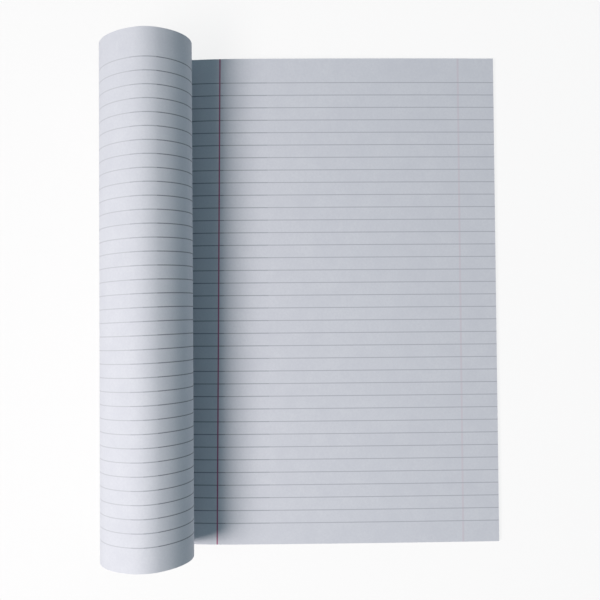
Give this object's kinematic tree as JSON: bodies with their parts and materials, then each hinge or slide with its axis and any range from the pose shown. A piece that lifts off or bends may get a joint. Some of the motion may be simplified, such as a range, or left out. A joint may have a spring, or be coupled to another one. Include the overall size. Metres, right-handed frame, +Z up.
{
  "type": "ruled notebook",
  "caption": "Open soft-cover ruled notebook for writing; one half of its pages lies flat, the other is rolled back into a tube over the spine.",
  "frame": {"origin": "middle of the back cover's underside, on the surface the book lies on", "axes": "+X across the flat right-hand page from the fold to the fore-edge, +Y to the head of the page, +Z up"},
  "size_m": [0.2367, 0.2988, 0.0645],
  "materials": {
    "writing_paper": "matte",
    "cover_card": "matte",
    "staple_wire": "satin"
  },
  "bodies": {
    "book": {"pages": "writing_paper", "front_cover": "cover_card", "upper_staple": "staple_wire", "lower_staple": "staple_wire"},
    "back_cover": {"back_cover": "cover_card"}
  },
  "joints": [
    {"name": "back_cover_hinge", "type": "hinge", "parent": "book", "child": "back_cover", "pos_m": [-0.105, 0, 0], "axis": [0, 1, 0], "range_deg": [0, 170]}
  ]
}
